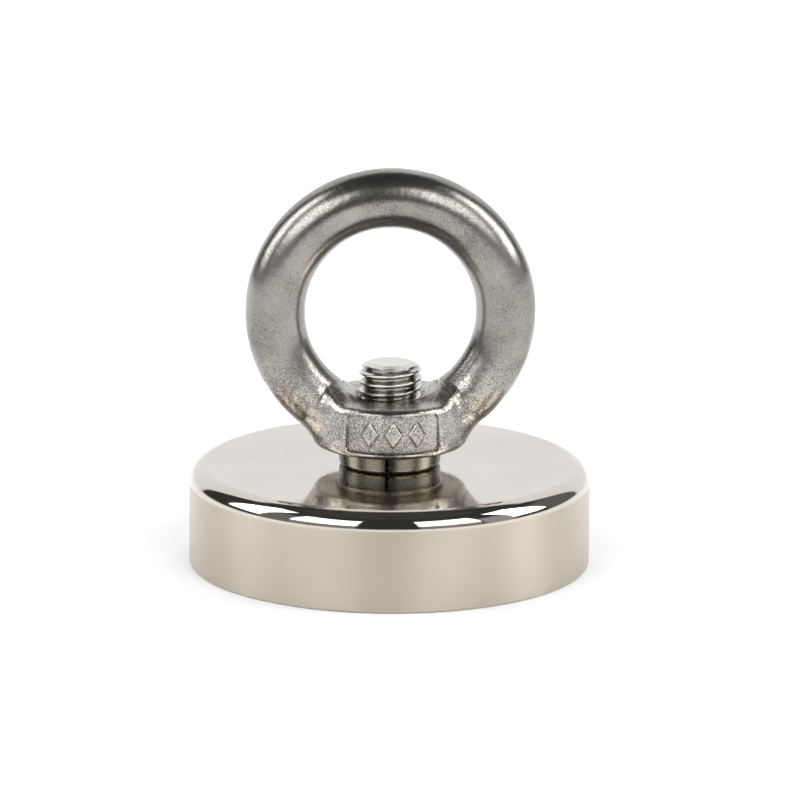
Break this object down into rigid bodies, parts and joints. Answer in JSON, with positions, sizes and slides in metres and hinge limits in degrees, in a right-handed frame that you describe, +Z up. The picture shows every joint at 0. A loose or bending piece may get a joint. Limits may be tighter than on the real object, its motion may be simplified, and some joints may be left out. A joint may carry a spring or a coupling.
{
  "type": "magnet fishing magnet",
  "caption": "Round pot magnet for magnet fishing, with a cast eye nut and spring washer screwed down on a countersunk screw.",
  "frame": {"origin": "centre of the pull face, in the plane of the pot's rim", "axes": "+Z up along the screw, out of the pot's back; -Y is the front of the eye nut's collar, +X to the right seen from the front"},
  "size_m": [0.075, 0.075, 0.075],
  "materials": {
    "nickel_plate": "mirror nickel plate on steel",
    "magnet_plate": "satin nickel plate on a sintered magnet",
    "resin": "cured epoxy, glossy",
    "bright_steel": "bright plated steel",
    "washer_steel": "plain rolled steel",
    "cast_stainless": "tumbled cast stainless steel"
  },
  "bodies": {
    "magnet": {"pot_shell": "nickel_plate", "ring_magnet": "magnet_plate", "potting_resin": "resin", "countersunk_screw": "bright_steel"},
    "washer": {"spring_washer": "washer_steel"},
    "eye": {"eye_nut": "cast_stainless"}
  },
  "joints": [
    {"name": "nut_turn", "type": "hinge", "parent": "magnet", "child": "washer", "pos_m": [0, 0, 0.0203], "axis": [0, 0, 1], "range_deg": [0, 3375]},
    {"name": "nut_rise", "type": "slide", "parent": "washer", "child": "eye", "axis": [0, 0, 1], "range_m": [0, 0.0164]}
  ],
  "couplings": [
    {"joint": "nut_turn", "follows": "nut_rise", "rad_per_m": 3590.4}
  ]
}
